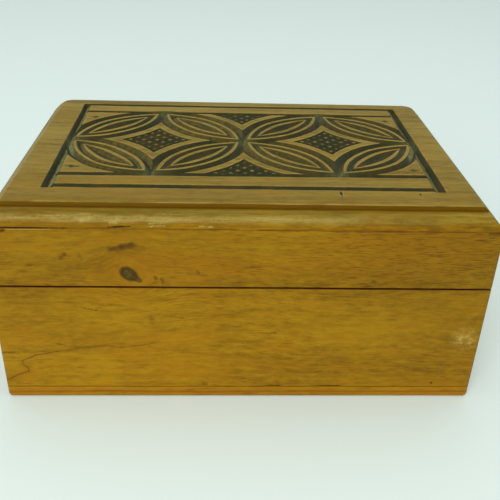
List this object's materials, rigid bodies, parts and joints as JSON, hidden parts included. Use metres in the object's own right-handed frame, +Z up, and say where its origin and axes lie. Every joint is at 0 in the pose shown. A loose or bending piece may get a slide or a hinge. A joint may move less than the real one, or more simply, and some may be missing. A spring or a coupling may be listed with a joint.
{
  "type": "wooden puzzle box",
  "caption": "Small rectangular wooden box with a carved hinged lid, a bottom board that slides aside and a hidden sliding bar that locks the lid.",
  "frame": {"origin": "middle of the underside of the bottom board, on the table", "axes": "+X to the viewer's right along the front, +Y from front to back, +Z up"},
  "size_m": [0.18, 0.1267, 0.081],
  "materials": {
    "golden_wood": "oiled golden brown hardwood with dark pores, worn satin",
    "inner_wood": "bare planed hardwood, paler",
    "brass": "aged brass"
  },
  "bodies": {
    "base": {"base_front_wall": "golden_wood", "base_back_wall": "golden_wood", "base_left_wall": "golden_wood", "base_right_wall": "golden_wood", "floor_panel": "inner_wood", "liner_front": "inner_wood", "liner_back": "inner_wood", "liner_left": "inner_wood", "liner_right": "inner_wood", "bar_guide_left": "inner_wood", "bar_guide_right": "inner_wood", "hinge_base_leaf_left": "brass", "hinge_base_leaf_right": "brass", "hinge_pin_left": "brass", "hinge_pin_right": "brass", "hinge_base_screws": "brass"},
    "lid": {"top_board": "golden_wood", "lid_front_wall": "golden_wood", "lid_back_wall": "golden_wood", "lid_left_wall": "golden_wood", "lid_right_wall": "golden_wood", "keeper_left": "inner_wood", "keeper_right": "inner_wood", "keeper_screws": "brass", "hinge_lid_leaf_left": "brass", "hinge_lid_leaf_right": "brass", "hinge_lid_screws": "brass", "keeper_pin_left": "brass", "keeper_pin_right": "brass"},
    "bottom": {"bottom_board": "golden_wood", "runner_front": "inner_wood", "runner_back": "inner_wood", "runner_dowels": "inner_wood"},
    "lock": {"lock_bar": "inner_wood", "finger_block": "inner_wood", "finger_block_dowel": "inner_wood", "lock_hook_left": "inner_wood", "lock_hook_right": "inner_wood"}
  },
  "joints": [
    {"name": "lid_hinge", "type": "hinge", "parent": "base", "child": "lid", "pos_m": [0, 0.06232, 0.05075], "axis": [-1, 0, 0], "range_deg": [0, 105]},
    {"name": "bottom_slide", "type": "slide", "parent": "base", "child": "bottom", "axis": [1, 0, 0], "range_m": [0, 0.03]},
    {"name": "lock_slide", "type": "slide", "parent": "base", "child": "lock", "axis": [1, 0, 0], "range_m": [0, 0.006]}
  ]
}
